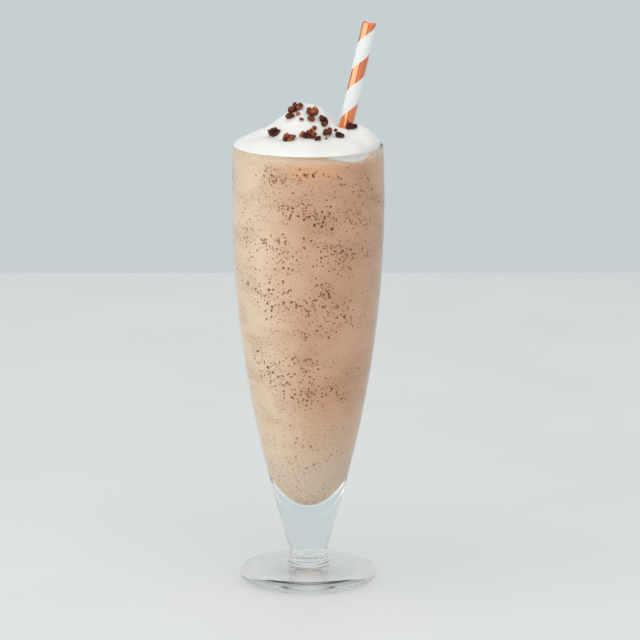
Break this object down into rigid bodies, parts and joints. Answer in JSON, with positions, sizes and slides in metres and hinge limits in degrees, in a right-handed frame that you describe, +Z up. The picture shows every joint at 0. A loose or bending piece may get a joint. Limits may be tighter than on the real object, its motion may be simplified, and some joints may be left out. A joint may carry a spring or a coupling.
{
  "type": "milkshake in a tall footed glass",
  "caption": "Coffee-coloured milkshake with dark flecks in a tall footed glass, topped with whipped cream, with a striped paper straw.",
  "frame": {"origin": "on the glass's axis, at the underside of its foot", "axes": "+Z up along the glass's axis; the straw leans towards +X and a little towards +Y"},
  "size_m": [0.0682, 0.0682, 0.2538],
  "materials": {
    "clear_glass": "gloss",
    "milkshake": "satin",
    "cream": "satin",
    "straw_paper": "matte",
    "chocolate": "satin"
  },
  "bodies": {
    "root": {"glass": "clear_glass", "milkshake": "milkshake", "whipped_cream": "cream", "straw": "straw_paper"}
  },
  "joints": []
}
